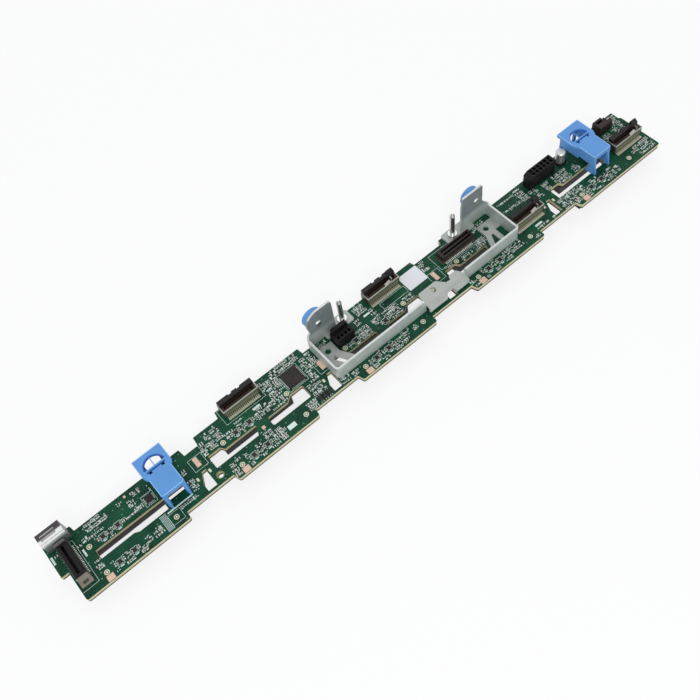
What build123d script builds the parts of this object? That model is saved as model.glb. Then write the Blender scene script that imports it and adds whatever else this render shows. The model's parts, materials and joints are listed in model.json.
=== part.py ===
from build123d import *
import os

# A backplane board for ten flat drives in five columns and two rows, lying on its ten drive connectors.
# Everything is drawn in board coordinates, in millimetres: x from the middle of the board's length,
# y from the lobes' edge, z up from the component face. Each piece is moved once, when it is written,
# so that the finished part stands on z = 0 with its middle over the origin.

# Circuit board
board_thickness = 3.2
corner_radius = 1.2
column_pitch = 80.0
column_count = 5
left_margin = 12.8
right_margin = 63.8
lobe_width = 50.6
notch_depth = 3.8
end_tab_width = 4.0
end_tab_height = 17.5
right_jog_height = 29.6
right_jog_width = 1.2
edge_notch = 28.8
edge_left = 33.5
edge_middle = 34.0
edge_right = 35.2
edge_end_tab = 37.1
edge_high = 38.0
mounting_hole_radius = 1.6
mounting_hole_spot = (-6.0, 8.2)

# Air slots, as low and high edges above the lobes' edge
slot_low = 12.2
slot_high = 17.8
slot_step = 20.3
wide_slot_low = 11.2
wide_slot_high = 19.4
slot_radius = 1.0

# Drive connectors on the hidden side
connector_length = 43.0
connector_depth = 6.6
connector_height = 8.0
connector_middle = 25.3
lower_row = 7.4
upper_row = 22.8
blade_slot_width = 2.4
blade_slot_depth = 4.6
blade_slot_length = 33.4
key_gap = 2.2
signal_slot_length = 10.6
guide_pocket_width = 2.6
contact_pitch = 1.6
contact_width = 0.6

# Folded bracket. Its left end stands over the third column and its right end over the fourth:
# places in x on the left are counted from the third column's lobe, and the others from the fourth's
sheet = 1.2
left_end = -9.7
right_end = 39.2
rail_front = 8.5
rail_height = 9.5
bend_radius = 2.2
tab_front = 33.5
tab_height = 26.5
left_tab = (-7.5, 9.1)
right_tab = (19.5, 35.1)
foot_rear = 38.8
foot_front = 30.8
left_foot_end = 19.5
right_foot_end = 8.5
base_rear = 28.8
bridge_span = (-29.3, -1.9)
bridge_front = 5.4
bridge_height = 5.7
bridge_lip = 4.3
bridge_slope = 3.4
bridge_fall = 1.6
bridge_notch = 1.7
bracket_hole_radius = 1.7
left_hole = (-3.7, 24.9)
right_hole = (30.1, 25.0)

# Touch knobs and their rivets
knob_radius = 6.0
knob_thickness = 5.6
left_knob = (-0.7, 15.8)
right_knob = (30.5, 17.0)
rivet_radius = 1.2
rivet_head_radius = 2.0
rivet_head = 0.7
rivet_reach = 3.2
fit_clearance = 0.05

# Guide pins
pin_radius = 1.5
pin_height = 20.0
pin_collar_radius = 2.6
pin_collar = 1.6
pin_tail_radius = 1.2
left_pin = 14.2
right_pin = 14.0
pin_y = 34.8

# Release latches
latch_top = 13.0
latch_plate = 1.6
latch_wall = 1.2
latch_rear_half = 8.2
latch_front_half = 6.5
latch_front = 11.4
latch_step = 24.2
latch_overhang = 1.7
latch_gap = 0.2
latch_hole_radius = 5.9
latch_hole_centre = 28.0
latch_lip = 2.6
latch_leg = 2.2
latch_buttress = 1.8
left_latch = 52.2
right_latch = 26.5

# Shielded cable connectors
shield_length = 21.9
shield_depth = 6.2
shield_height = 8.6
shield_front_height = 6.2
shield_rear_wall = 2.7
shield_sheet = 0.4
shield_tail_reach = 2.4
tail_pitch = 1.0
tail_width = 0.45

# Other connectors
receptacle_length = 23.0
receptacle_depth = 5.4
receptacle_height = 6.0
power_length = 19.5
power_depth = 5.8
power_height = 10.0
header_length = 11.0
header_depth = 7.0
header_height = 8.4
block_length = 10.0
block_depth = 6.4
block_height = 6.0
end_length = 19.5
end_width = 5.8
end_height = 6.0
end_base_height = 1.5
end_base_edge = 0.3
end_ear = 3.9
tall_length = 12.6
tall_depth = 6.0
tall_height = 12.4

# Small parts
can_radius = 2.9
can_height = 8.8
chip_size = 10.0
chip_height = 1.4
small_chip_size = 4.2
label_size = (12.8, 10.9)
label_thickness = 0.15
package_size = (2.0, 2.0)
package_height = 1.0
passive_size = (1.6, 0.85)
passive_height = 0.7
passive_gap = 2.6
edge_chip_size = (2.1, 3.4)

# Where the small parts and connectors stand: offset from a column's lobe, then height over the lobes' edge
large_chip_spot = (53.3, 26.2)
small_chip_spot = (40.4, 22.1)
label_spot = (59.4, 29.1)
can_spot = (14.1, 30.4)
package_offsets = (12.8, 21.2)
package_y = 5.1
upper_package_offsets = (13.0, 21.6)
upper_package_y = 21.3
third_column_packages = ((11.8, 20.4), (30.8, 18.9))
edge_chip_offsets = (-23.6, -20.8, -18.0)
edge_chip_y = 6.7
first_cable_spot = (24.8, 30.9)
second_cable_spot = (41.3, 31.7)
third_cable_spot = (51.0, 12.1)
last_cable_inset = 13.2
receptacle_spot = (8.6, 24.0)
power_spot = (-3.1, 27.4)
header_spot = (7.6, 22.6)
block_inset = 14.4
block_y = 27.6
end_connector_inset = 4.6
end_connector_y = 9.6
tall_inset = 4.2
tall_y = 31.0

# Sizes that follow from the others
board_length = left_margin + (column_count - 1) * column_pitch + right_margin
board_right = board_length / 2
first_column = left_margin - board_right
depth_middle = (tab_front + sheet + knob_thickness) / 2
rest_height = board_thickness + connector_height


def column_x(index, offset=0.0):
    return first_column + index * column_pitch + offset


def over_column(index, spot):
    """A spot's offset from a column's lobe, as a place on the board."""
    return column_x(index, spot[0]), spot[1]


# Places along the board
bracket_left, bracket_right = column_x(2, left_end), column_x(3, right_end)
left_tab_left, left_tab_right = [column_x(2, offset) for offset in left_tab]
right_tab_left, right_tab_right = [column_x(3, offset) for offset in right_tab]
left_foot_right, right_foot_left = column_x(2, left_foot_end), column_x(3, right_foot_end)
bridge_left, bridge_right = [column_x(3, offset) for offset in bridge_span]
left_knob_spot, right_knob_spot = over_column(2, left_knob), over_column(3, right_knob)
left_pin_x, right_pin_x = column_x(2, left_pin), column_x(3, right_pin)
left_latch_x, right_latch_x = column_x(0, left_latch), column_x(column_count - 1, right_latch)


def write(name, *solids):
    """Move a piece from board coordinates to the part's own frame and write it."""
    os.makedirs("parts", exist_ok=True)
    place = Location((0, -depth_middle, rest_height))
    moved = [solid.moved(place) for shape in solids for solid in shape.solids()]
    export_step(Compound(children=moved) if len(moved) > 1 else moved[0], f"parts/{name}.step")


def block(x, y, z):
    """A box from three (low, high) pairs."""
    size = (x[1] - x[0], y[1] - y[0], z[1] - z[0])
    return Pos((x[0] + x[1]) / 2, (y[0] + y[1]) / 2, (z[0] + z[1]) / 2) * Box(*size)


def outline(points, radius=0.0):
    """A flat face from its corners, with every corner rounded."""
    face = make_face(Polyline(*points, close=True))
    return fillet(face.vertices(), radius) if radius else face


def rounded_ends(points, radius, axis=Axis.X):
    """A flat face from its corners, with only the corners at its two ends along an axis rounded."""
    face = outline(points)
    groups = face.vertices().group_by(axis)
    return fillet(groups[0] + groups[-1], radius)


def plan(points, low, high, radius=0.0):
    """A plan outline raised from low to high."""
    return extrude(Pos(0, 0, low) * outline(points, radius), high - low)


def elevation(points, front, rear, radius=0.0):
    """An outline in x and z, carried from front to rear in y."""
    return extrude(Plane((0, front, 0), (1, 0, 0), (0, -1, 0)) * outline(points, radius), front - rear)


def side_view(points, left, right, radius=0.0):
    """An outline in y and z, carried from left to right in x."""
    return extrude(Plane((left, 0, 0), (0, 1, 0), (1, 0, 0)) * outline(points, radius), right - left)


# Circuit board

def upper_edge_runs():
    """Start of each stretch of the upper edge, from left to right, and its height."""
    return (
        (-board_right, edge_end_tab),
        (column_x(0, 3.6), edge_left),
        (column_x(1, -13.8), edge_notch),
        (column_x(1, -5.0), edge_middle),
        (column_x(1, 11.3), edge_high),
        (column_x(1, 66.2), edge_middle),
        (column_x(2, 8.0), edge_high),
        (column_x(2, 65.7), edge_right),
        (column_x(3, 6.3), edge_high),
        (column_x(3, 39.5), edge_right),
    )


def board_outline():
    left, right = -board_right, board_right
    points = [(left + end_tab_width, end_tab_height), (left + end_tab_width, 0)]
    for index in range(column_count - 1):
        lobe_end = column_x(index, lobe_width)
        next_lobe = column_x(index + 1)
        points += [(lobe_end, 0), (lobe_end, notch_depth), (next_lobe - 1.2, notch_depth), (next_lobe, 0)]
    points += [(right, 0), (right, right_jog_height - right_jog_width)]
    points += [(right - right_jog_width, right_jog_height), (right - right_jog_width, edge_right)]
    runs = upper_edge_runs()
    for run, level_before in zip(runs[:0:-1], runs[-2::-1]):
        points += [(run[0], run[1]), (run[0] - 0.6, level_before[1])]
    points += [(left, edge_end_tab), (left, end_tab_height)]
    face = outline(points)
    lobe_corners = [corner for corner in face.vertices() if corner.Y < 0.1]
    return fillet(lobe_corners, corner_radius)


def stepped_slot(index, end):
    """The upper slot of a column: a taller left end, then a long low run with a slanted end."""
    x = [column_x(index, offset) for offset in (-5.2, 3.0, end - 2.0, end)]
    return rounded_ends([(x[0], slot_low), (x[2], slot_low), (x[3], slot_high - 0.6), (x[3] - 0.6, slot_high),
                         (x[1] + 0.8, slot_high), (x[1] - 0.8, slot_step), (x[0], slot_step)], 0.5)


def first_slot():
    """The long slot of the first column, a little wider beside the latch and narrow between its legs."""
    x = [column_x(0, offset) for offset in (6.4, 25.6, 28.0, 44.8, 58.2)]
    return rounded_ends([(x[0], slot_low + 0.2), (x[1], slot_low + 0.2), (x[2], wide_slot_low),
                         (x[3], wide_slot_low), (x[3], slot_low + 2.2), (x[4], slot_low + 2.2),
                         (x[4], slot_high - 0.4), (x[0], slot_high)], 0.7)


def wide_slot(index):
    """The short slot with a taller right end."""
    x = [column_x(index, offset) for offset in (29.8, 42.6, 46.2, 54.2)]
    return rounded_ends([(x[0], wide_slot_low), (x[3], wide_slot_low), (x[3], wide_slot_high),
                         (x[2], wide_slot_high), (x[1], 16.8), (x[0], 16.8)], slot_radius)


def hook_slot(index):
    """A slot whose left side slants in towards its upper end."""
    x = [column_x(index, offset) for offset in (-15.2, -12.3, -9.9)]
    return outline([(x[0], 5.2), (x[2], 5.2), (x[2], 15.8), (x[1], 15.8), (x[0], 9.4)])


def circuit_board():
    face = board_outline()
    slots = [first_slot()]
    slots += [stepped_slot(index, 22.8) for index in (1, 2, 3)]
    slots += [stepped_slot(4, 33.0)]
    slots += [wide_slot(index) for index in (1, 2)]
    slots += [hook_slot(index) for index in range(1, column_count)]
    mount_x, mount_y = column_x(1, mounting_hole_spot[0]), mounting_hole_spot[1]
    slots += [Pos(mount_x, mount_y) * Circle(mounting_hole_radius)]
    for slot in slots:
        face -= slot
    return extrude(face, -board_thickness)


# Drive connectors and their contacts, hanging under the board

def drive_connector(start, middle):
    top, low = -board_thickness, -board_thickness - connector_height
    front, rear = middle - connector_depth / 2, middle + connector_depth / 2
    body = block((start, start + connector_length), (front, rear), (low, top))
    body = chamfer(body.faces().sort_by(Axis.Z)[0].edges(), 0.5)
    slot_y = (middle - blade_slot_width / 2, middle + blade_slot_width / 2)
    slot_z = (low, low + blade_slot_depth)
    first = start + (connector_length - blade_slot_length) / 2
    body -= block((first, first + signal_slot_length), slot_y, slot_z)
    body -= block((first + signal_slot_length + key_gap, first + blade_slot_length), slot_y, slot_z)
    for x in (start + 1.2, start + connector_length - 1.2 - guide_pocket_width):
        body -= block((x, x + guide_pocket_width), (middle - 1.6, middle + 1.6), slot_z)
    return body


def drive_contacts(start, middle):
    """Spring contacts along the rear wall of both blade slots."""
    low = -board_thickness - connector_height
    first = start + (connector_length - blade_slot_length) / 2
    wall = middle + blade_slot_width / 2
    contacts = []
    count = int((blade_slot_length - 1.0) / contact_pitch)
    for step in range(count):
        x = first + 0.9 + step * contact_pitch
        in_signal = x + contact_width < first + signal_slot_length
        in_power = x > first + signal_slot_length + key_gap
        if in_signal or in_power:
            profile = [(wall, low + 1.0), (wall, low + blade_slot_depth), (wall - 0.7, low + 2.2)]
            contacts.append(side_view(profile, x, x + contact_width))
    return contacts


# Bracket

def bracket_walls():
    """The upright sheet: rail, end flanges and tall tabs, with round bends."""
    rear = tab_front + sheet
    middle = ((bracket_left + bracket_right) / 2, (rail_front + rear) / 2)
    length, depth = bracket_right - bracket_left, rear - rail_front
    ring = RectangleRounded(length, depth, bend_radius)
    ring -= RectangleRounded(length - 2 * sheet, depth - 2 * sheet, bend_radius - sheet)
    walls = extrude(Pos(*middle) * ring, tab_height)
    return walls & (low_walls() + left_tab_shape() + right_tab_shape())


def low_walls():
    """Height of the rail and flanges, seen from the front; the rail dips under the bridge."""
    left, right = bracket_left - 1, bracket_right + 1
    under = bridge_height - sheet
    rail = [(left, 0), (bridge_left, 0), (bridge_left, under), (bridge_right, under), (bridge_right, 0),
            (right, 0), (right, rail_height), (bridge_right + 1.0, rail_height),
            (bridge_right, bridge_height), (bridge_left, bridge_height), (bridge_left - 1.0, rail_height),
            (left, rail_height)]
    shape = elevation(rail, rail_front - 1, rail_front + bend_radius)
    flanges = ((left, bracket_left + bend_radius), (bracket_right - bend_radius, right))
    for flange in flanges:
        shape += block(flange, (rail_front + bend_radius - 0.5, tab_front + sheet + 1),
                       (0, rail_height - 0.6))
    return shape


def left_tab_shape():
    x0, x1 = left_tab_left, left_tab_right
    knob_x, knob_z = left_knob_spot
    with BuildLine() as edge:
        Polyline((x0, knob_z + 4.4), (x0, knob_z + 1.0), (x0 + 0.9, knob_z - 3.6), (bracket_left - 1, 8.0),
                 (bracket_left - 1, 0), (x1, 0), (x1, tab_height - 2.5))
        RadiusArc((x1, tab_height - 2.5), (x1 - 2.5, tab_height), -2.5)
        Line((x1 - 2.5, tab_height), (knob_x + 0.5, tab_height))
        RadiusArc((knob_x + 0.5, tab_height), (x0, knob_z + 4.4), -8.5)
    face = make_face(edge.line)
    return extrude(Plane((0, tab_front - 1, 0), (1, 0, 0), (0, -1, 0)) * face, -(sheet + 2))


def right_tab_shape():
    x0, x1 = right_tab_left, right_tab_right
    points = [(x0, 0), (bracket_right + 1, 0), (bracket_right + 1, rail_height),
              (bracket_right - 1, rail_height + 0.4), (x1, rail_height + 4.0), (x1, tab_height),
              (x0 + 1.2, tab_height), (x0 + 0.4, 18.5)]
    face = outline(points)
    upper = [corner for corner in face.vertices() if corner.Y > rail_height + 1]
    return extrude(Plane((0, tab_front - 1, 0), (1, 0, 0), (0, -1, 0)) * fillet(upper, 1.4), -(sheet + 2))


def left_base():
    """Base plate at the left end: a round hole, then a slanted slot between two arms."""
    x0, y0 = bracket_left + sheet / 2, rail_front + sheet / 2
    points = [(x0, y0), (x0 + 17.4, y0), (x0 + 14.8, y0 + 4.4), (x0 + 10.4, y0 + 12.4),
              (x0 + 10.4, base_rear), (x0, base_rear)]
    plate = plan(points, 0, sheet)
    plate -= Pos(*over_column(2, left_hole), sheet / 2) * Cylinder(bracket_hole_radius, 2 * sheet)
    slot = Pos(x0 + 7.4, y0 + 7.6, sheet / 2) * Rot(0, 0, -60) * Box(8.0, 2.3, 2 * sheet)
    window = plan([(x0 + 2.6, y0 + 1.4), (x0 + 6.2, y0 + 1.4), (x0 + 3.8, y0 + 5.6)], -1, sheet + 1)
    return plate - slot - window


def right_base():
    """Base plate at the right end: a round hole, then a slanted and a straight arm."""
    x1, y0 = bracket_right - sheet / 2, rail_front + sheet / 2
    points = [(x1, y0), (x1, base_rear), (x1 - 12.2, base_rear), (x1 - 12.2, y0 + 12.2), (x1 - 17.4, y0)]
    plate = plan(points, 0, sheet)
    plate -= Pos(*over_column(3, right_hole), sheet / 2) * Cylinder(bracket_hole_radius, 2 * sheet)
    plate -= block((x1 - 5.0, x1 - sheet / 2), (y0 + 1.6, y0 + 12.2), (-1, sheet + 1))
    return plate - plan([(x1 - 13.6, y0 + 1.6), (x1 - 7.8, y0 + 1.6), (x1 - 8.0, y0 + 10.8),
                         (x1 - 9.4, y0 + 10.8)], -1, sheet + 1)


def feet():
    """Flat feet under both tabs, which carry the guide pins at the board's upper edge."""
    both = block((left_tab_right - 8.0, left_foot_right), (foot_front, foot_rear), (0, sheet))
    both += block((right_foot_left, right_tab_left + 8.0), (foot_front, foot_rear), (0, sheet))
    both = chamfer(both.edges().filter_by(Axis.Z), 0.8)
    for x in (left_pin_x, right_pin_x):
        both -= Pos(x, pin_y, sheet / 2) * Cylinder(pin_tail_radius + fit_clearance, 2 * sheet)
    return both


def bridge():
    """The raised middle of the rail: two tongues joined by an arch, sloping down to a lip along the front."""
    x0, x1, front, top = bridge_left, bridge_right, bridge_front, bridge_height
    rear = rail_front + sheet
    notch = front + bridge_notch
    points = [(x0 + 0.2, front), (x0 + 12.4, front), (x0 + 14.0, notch), (x0 + 17.6, notch),
              (x0 + 19.0, front), (x1 + 0.8, front), (x1 + 0.2, rear + 1.2), (x1 - 1.6, rear + 4.2),
              (x1 - 6.4, rear + 4.2), (x1 - 7.6, rear + 1.8), (x0 + 17.4, rear + 1.8),
              (x0 + 13.4, rear + 6.7), (x0 + 1.6, rear + 6.7), (x0 + 0.2, rear + 3.4)]
    far = rear + 8
    bent = [(far, top - sheet), (far, top), (front + bridge_slope, top), (front, top - bridge_fall),
            (front, top - bridge_lip), (front + sheet, top - bridge_lip),
            (front + sheet, top - bridge_fall - sheet / 2), (front + bridge_slope + sheet / 2, top - sheet)]
    plate = side_view(bent, x0 - 1, x1 + 2) & plan(points, 0, top + 1)
    return plate - Pos(x0 + 8.8, rear + 3.4, top) * Cylinder(bracket_hole_radius, 3 * sheet)


def mounting_bracket():
    body = bracket_walls() + left_base() + right_base() + feet() + bridge()
    for x, z in (left_knob_spot, right_knob_spot):
        hole = Cylinder(rivet_radius + fit_clearance, 2 * sheet)
        body -= Pos(x, tab_front + sheet / 2, z) * Rot(90, 0, 0) * hole
    return body


# Knobs, rivets, guide pins

def turned(points, place):
    """A turned piece from its half section in radius and height."""
    return place * revolve(Plane.XZ * make_face(Polyline(*points, close=True)), Axis.Z)


def touch_knob(spot):
    """A round button with a raised rim, blind-bored for its rivet."""
    bore, r, t = rivet_radius + fit_clearance, knob_radius, knob_thickness
    points = [(bore, 0), (r, 0), (r, t - 0.7), (r - 0.7, t), (r - 1.8, t - 0.8), (0, t - 0.8),
              (0, rivet_reach + 0.2), (bore, rivet_reach + 0.2)]
    return turned(points, Pos(spot[0], tab_front + sheet, spot[1]) * Rot(-90, 0, 0))


def knob_rivet(spot):
    h, reach = rivet_head, sheet + rivet_reach
    points = [(0, -h), (rivet_head_radius - 0.6, -h), (rivet_head_radius, 0), (rivet_radius, 0),
              (rivet_radius, reach), (0, reach)]
    return turned(points, Pos(spot[0], tab_front, spot[1]) * Rot(-90, 0, 0))


def guide_pin(x):
    """A collar on the foot, a tail staked into the foot, and a tapered tip."""
    r, c, top = pin_radius, pin_collar, pin_height - sheet
    points = [(0, -sheet), (pin_tail_radius, -sheet), (pin_tail_radius, 0), (pin_collar_radius, 0),
              (pin_collar_radius, c), (r, c), (r, top - 2.4), (r - 0.9, top), (0, top)]
    return turned(points, Pos(x, pin_y, sheet))


# Release latches

def latch_plate_shape(x, rear):
    low = latch_top - latch_plate
    wide, narrow = latch_rear_half, latch_front_half
    points = [(x - narrow, latch_front), (x + narrow, latch_front), (x + narrow, latch_step - 1.4),
              (x + wide - 0.6, latch_step), (x + wide, latch_step + 1.6), (x + wide, rear), (x - wide, rear),
              (x - wide, latch_step + 1.6), (x - wide + 0.6, latch_step), (x - narrow, latch_step - 1.4)]
    plate = extrude(Pos(0, 0, low) * rounded_ends(points, 0.4, Axis.Y), latch_plate)
    disc = Pos(x, latch_hole_centre, low) * Cylinder(latch_hole_radius, 4 * latch_plate)
    reach = latch_hole_radius + 1
    disc -= block((x - reach, x + reach), (latch_hole_centre - reach, latch_hole_centre), (0, 30))
    slot = block((x - 5.2, x + 5.2), (latch_hole_centre - 1.9, latch_hole_centre - 0.9),
                 (low - 1, latch_top + 1))
    for side in (-1, 1):
        slot += block((x + side * 3.6 - 0.8, x + side * 3.6 + 0.8),
                      (latch_hole_centre - 3.0, latch_hole_centre - 1.0), (low - 1, latch_top + 1))
    return plate - disc - slot


def latch_side(x, inner, outer, rear):
    """One side wall: a foot that widens to the rear, then a raised skirt to the rear wall."""
    low = latch_top - latch_plate
    points = [(latch_front, 0), (latch_front + 5.0, 0), (latch_front + 3.0, 6.4), (latch_step - 1.4, 6.4),
              (latch_step - 1.4, 4.6), (rear, 4.6), (rear, low), (latch_front, low)]
    return side_view(points, x + inner, x + outer)


def latch_front_wall(x):
    """Two legs under the plate's front edge, each with a buttress, and a window between them."""
    low, half, leg = latch_top - latch_plate, latch_front_half, latch_leg
    wall = elevation([(x - half, 0), (x - half + leg, 0), (x - half + leg, low - 1.0),
                      (x + half - leg, low - 1.0), (x + half - leg, 0), (x + half, 0), (x + half, low),
                      (x - half, low)], latch_front, latch_front + latch_wall)
    buttress = [(latch_front, 0), (latch_front - latch_buttress, 0), (latch_front, low - 2.0)]
    for side in (-1, 1):
        middle = x + side * (half - leg / 2)
        wall += side_view(buttress, middle - latch_wall / 2, middle + latch_wall / 2)
    return wall


def latch_rear_wall(x, board_edge):
    """The wall behind the board's edge, open under the finger hole, with the snap lip under the board."""
    inner_face = board_edge + latch_gap
    rear = inner_face + latch_wall
    low, half = latch_top - latch_plate, latch_front_half
    under = -board_thickness - latch_gap
    hook = [(inner_face, low), (inner_face, under), (inner_face - latch_lip, under),
            (inner_face - latch_lip, under - 0.6), (inner_face, under - 1.6), (rear, under - 1.6),
            (rear, low)]
    wall = side_view(hook, x - half, x + half)
    return wall - block((x - half + latch_leg, x + half - latch_leg), (inner_face - 1, rear + 1), (0, low))


def release_latch(x, board_edge):
    """The latch stands on the board and wraps its upper edge."""
    half = latch_front_half
    rear = board_edge + latch_gap + latch_wall
    body = latch_plate_shape(x, board_edge + latch_overhang + latch_wall)
    body += latch_front_wall(x) + latch_rear_wall(x, board_edge)
    body += latch_side(x, -half, -half + latch_wall, rear)
    return body + latch_side(x, half - latch_wall, half, rear)


# Shielded cable connectors: insulator, metal shell and contact tails

def shield_insulator(x, front, has_latch):
    """Open cable socket: a low front block with a tongue slot, and a taller rear wall with two notches."""
    half = shield_length / 2 - shield_sheet
    rear = front + shield_depth
    wall_front = rear - shield_rear_wall
    profile = [(front + shield_sheet, 0), (rear, 0), (rear, shield_height),
               (wall_front + 0.4, shield_height), (wall_front, shield_height - 0.6),
               (wall_front, shield_front_height), (front + shield_sheet, shield_front_height)]
    body = side_view(profile, x - half, x + half)
    body -= block((x - half + 1.4, x + half - 1.4), (front + 1.0, wall_front), (1.8, shield_front_height + 1))
    body += block((x - half + 2.2, x + half - 2.2), (front + 1.7, front + 2.4),
                  (1.8, shield_front_height - 0.8))
    for notch in (-2.4, 2.9):
        body -= block((x + notch - 1.0, x + notch + 1.0), (rear - 0.9, rear + 1),
                      (shield_height - 1.2, shield_height + 1))
    if has_latch:
        seat, top = shield_front_height - 0.2, shield_height + 1.1
        latch = [(wall_front - 0.4, seat), (rear - 0.4, seat), (rear - 0.4, top), (rear - 1.6, top),
                 (wall_front - 0.4, seat + 1.0)]
        body += side_view(latch, x + half - 4.4, x + half - 0.4)
    return body


def shield_shell(x, front, has_latch):
    """A thin sheet round the front and both sides, on two legs, with a spring tab beside the latch block."""
    outer, inner = shield_length / 2, shield_length / 2 - shield_sheet
    low, rear = 0.6, front + shield_depth
    wrap = block((x - outer, x + outer), (front, rear), (low, shield_front_height))
    wrap -= block((x - inner, x + inner), (front + shield_sheet, rear + 1),
                  (low - 1, shield_front_height + 1))
    for side in (-1, 1):
        middle = x + side * (outer - shield_sheet / 2)
        wrap += block((middle - shield_sheet / 2, middle + shield_sheet / 2), (front + 2, front + 4.4),
                      (0, low))
    if has_latch:
        end, top = x + inner, shield_front_height
        tab = [(end - 8.8, top), (end - 7.2, top), (end - 5.0, top + 0.8), (end - 4.5, top + 3.4),
               (end - 4.9, top + 3.4), (end - 5.5, top + 1.2)]
        wrap += elevation(tab, front, front + 1.6)
    return wrap


def row_of_tails(x, length, front, reach, height=0.5):
    """A row of tapered contact tails lying on the board along a connector's front."""
    count = int(length / tail_pitch)
    first = x - (count - 1) * tail_pitch / 2
    profile = [(front - reach, 0), (front, 0), (front, height)]
    return [side_view(profile, first + step * tail_pitch - tail_width / 2,
                      first + step * tail_pitch + tail_width / 2) for step in range(count)]


def shield_set(name, x, front, has_latch=True):
    write(f"{name}_insulator", shield_insulator(x, front, has_latch))
    write(f"{name}_shell", shield_shell(x, front, has_latch))
    write(f"{name}_tails", *row_of_tails(x, shield_length - 1.0, front + shield_sheet, shield_tail_reach))


# Other connectors

def end_connector_base(x, low_y):
    """Moulded base of the upright cable connector at the left end, with an ear at each end."""
    half = end_width / 2 + end_base_edge
    high_y = low_y + end_length
    points = [(x - half, low_y - end_ear), (x + half, low_y - end_ear), (x + half, high_y + 1.6),
              (x - half, high_y + 1.6)]
    base = plan(points, 0, end_base_height)
    base -= block((x - 1.4, x + 1.4), (low_y - end_ear + 1.0, low_y - 0.9), (0.5, 5))
    wedge = side_view([(low_y - 1.4, end_base_height), (low_y, end_base_height), (low_y, end_height - 1.0)],
                      x - end_width / 2, x + end_width / 2)
    tower = block((x - end_width / 2, x + end_width / 2), (high_y, high_y + 1.2),
                  (end_base_height, end_height + 1.0))
    return base + tower + wedge


def end_connector_housing(x, low_y):
    """Two long walls with a cable slot between them."""
    half, high_y = end_width / 2, low_y + end_length
    body = block((x - half, x + half), (low_y, high_y), (end_base_height, end_height))
    body = chamfer(body.faces().sort_by(Axis.Z)[-1].edges().filter_by(Axis.Y), 0.6)
    return body - block((x - 0.75, x + 0.75), (low_y + 1.2, high_y - 1.2),
                        (end_base_height + 0.6, end_height + 1))


def end_connector_tails(x, low_y):
    tails = []
    edge = end_width / 2 + end_base_edge
    count = int((end_length - 2) / tail_pitch)
    for side in (-1, 1):
        for step in range(count):
            y = low_y + 1.4 + step * tail_pitch
            inner, outer = x + side * edge, x + side * (edge + 0.6)
            tails.append(elevation([(inner, 0), (outer, 0), (inner, 0.35)], y, y + tail_width))
    return tails


def tall_slots(x, front):
    """Two narrow slots through the tall socket's top, one behind the other."""
    half = tall_length / 2 - 1.6
    slots = [block((x - half, x + half - 1.6), (y, y + 0.9), (4.0, tall_height + 1))
             for y in (front + 1.3, front + 3.4)]
    return slots[0] + slots[1]


def tall_insulator(x, front):
    """Moulded core of the tall cable socket at the upper left corner."""
    half = tall_length / 2 - shield_sheet
    body = block((x - half, x + half), (front + shield_sheet, front + tall_depth),
                 (0, tall_height - shield_sheet))
    return body - tall_slots(x, front)


def tall_shell(x, front):
    """Thin sheet over the tall socket's top, front and both sides, with a pressed band along its front."""
    outer, inner = tall_length / 2, tall_length / 2 - shield_sheet
    low, top, rear = 0.6, tall_height, front + tall_depth
    wrap = block((x - outer, x + outer), (front, rear), (low, top))
    wrap -= block((x - inner, x + inner), (front + shield_sheet, rear + 1), (low - 1, top - shield_sheet))
    band = [(front, top - 1.0), (front, top - 4.6), (front - 0.5, top - 4.2), (front - 0.5, top - 1.6)]
    wrap += side_view(band, x - outer, x + outer)
    for side in (-1, 1):
        middle = x + side * (outer - shield_sheet / 2)
        wrap += block((middle - shield_sheet / 2, middle + shield_sheet / 2), (front + 2, front + 4),
                      (0, low))
    return wrap - tall_slots(x, front)


def receptacle_housing(x, front):
    """Two-row board receptacle with a long slot and a keyed tower at the left end."""
    half = receptacle_length / 2
    body = block((x - half, x + half), (front, front + receptacle_depth), (0, receptacle_height))
    body -= block((x - half + 1.8, x + half - 1.2), (front + 0.9, front + 2.2), (1.4, 10))
    body -= block((x - half + 1.8, x + half - 1.2), (front + 3.2, front + 4.5), (1.4, 10))
    key = plan([(x - half, front), (x - half + 1.2, front), (x - half + 1.2, front + 1.6),
                (x - half, front + 1.6)], receptacle_height - 0.01, receptacle_height + 0.5)
    return body + key


def power_housing(x, front):
    """Upright power socket with a raised rear corner and two rows of square wells."""
    half = power_length / 2
    profile = [(x - half, 0), (x + half, 0), (x + half, power_height), (x - half + 2.2, power_height),
               (x - half, power_height - 1.8)]
    body = elevation(profile, front, front + power_depth)
    for column in range(6):
        for row in range(2):
            well_x = x - half + 2.6 + column * 2.75
            well_y = front + 0.7 + row * 2.4
            body -= block((well_x, well_x + 1.9), (well_y, well_y + 1.9), (4.0, power_height + 1))
    return body


def power_blades(x, front):
    half = power_length / 2
    blades = []
    for column in range(6):
        for row in range(2):
            left = x - half + 3.3 + column * 2.75
            y = front + 1.3 + row * 2.4
            blades.append(block((left, left + 0.5), (y, y + 0.7), (4.0, 8.4)))
    return blades


def header_housing(x, front):
    """Two-step cable header: wells in front, a taller ribbed guide behind."""
    half = header_length / 2
    rear = front + header_depth
    body = block((x - half, x + half), (front, rear), (0, header_height - 1.6))
    body += block((x - half + 0.6, x + half - 0.9), (rear - 2.4, rear), (0, header_height + 1.6))
    for step in range(4):
        left = x - half + 1.2 + step * 2.35
        body -= block((left, left + 1.5), (front + 1.0, front + 2.9), (2.0, header_height))
        body -= block((left + 0.5, left + 1.0), (rear - 2.6, rear - 2.1),
                      (header_height - 1.5, header_height + 2))
    return body


def header_pins(x, front):
    half = header_length / 2
    return [block((x - half + 1.7 + step * 2.35, x - half + 2.2 + step * 2.35), (front + 1.7, front + 2.2),
                  (2.0, 4.4)) for step in range(4)]


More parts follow.
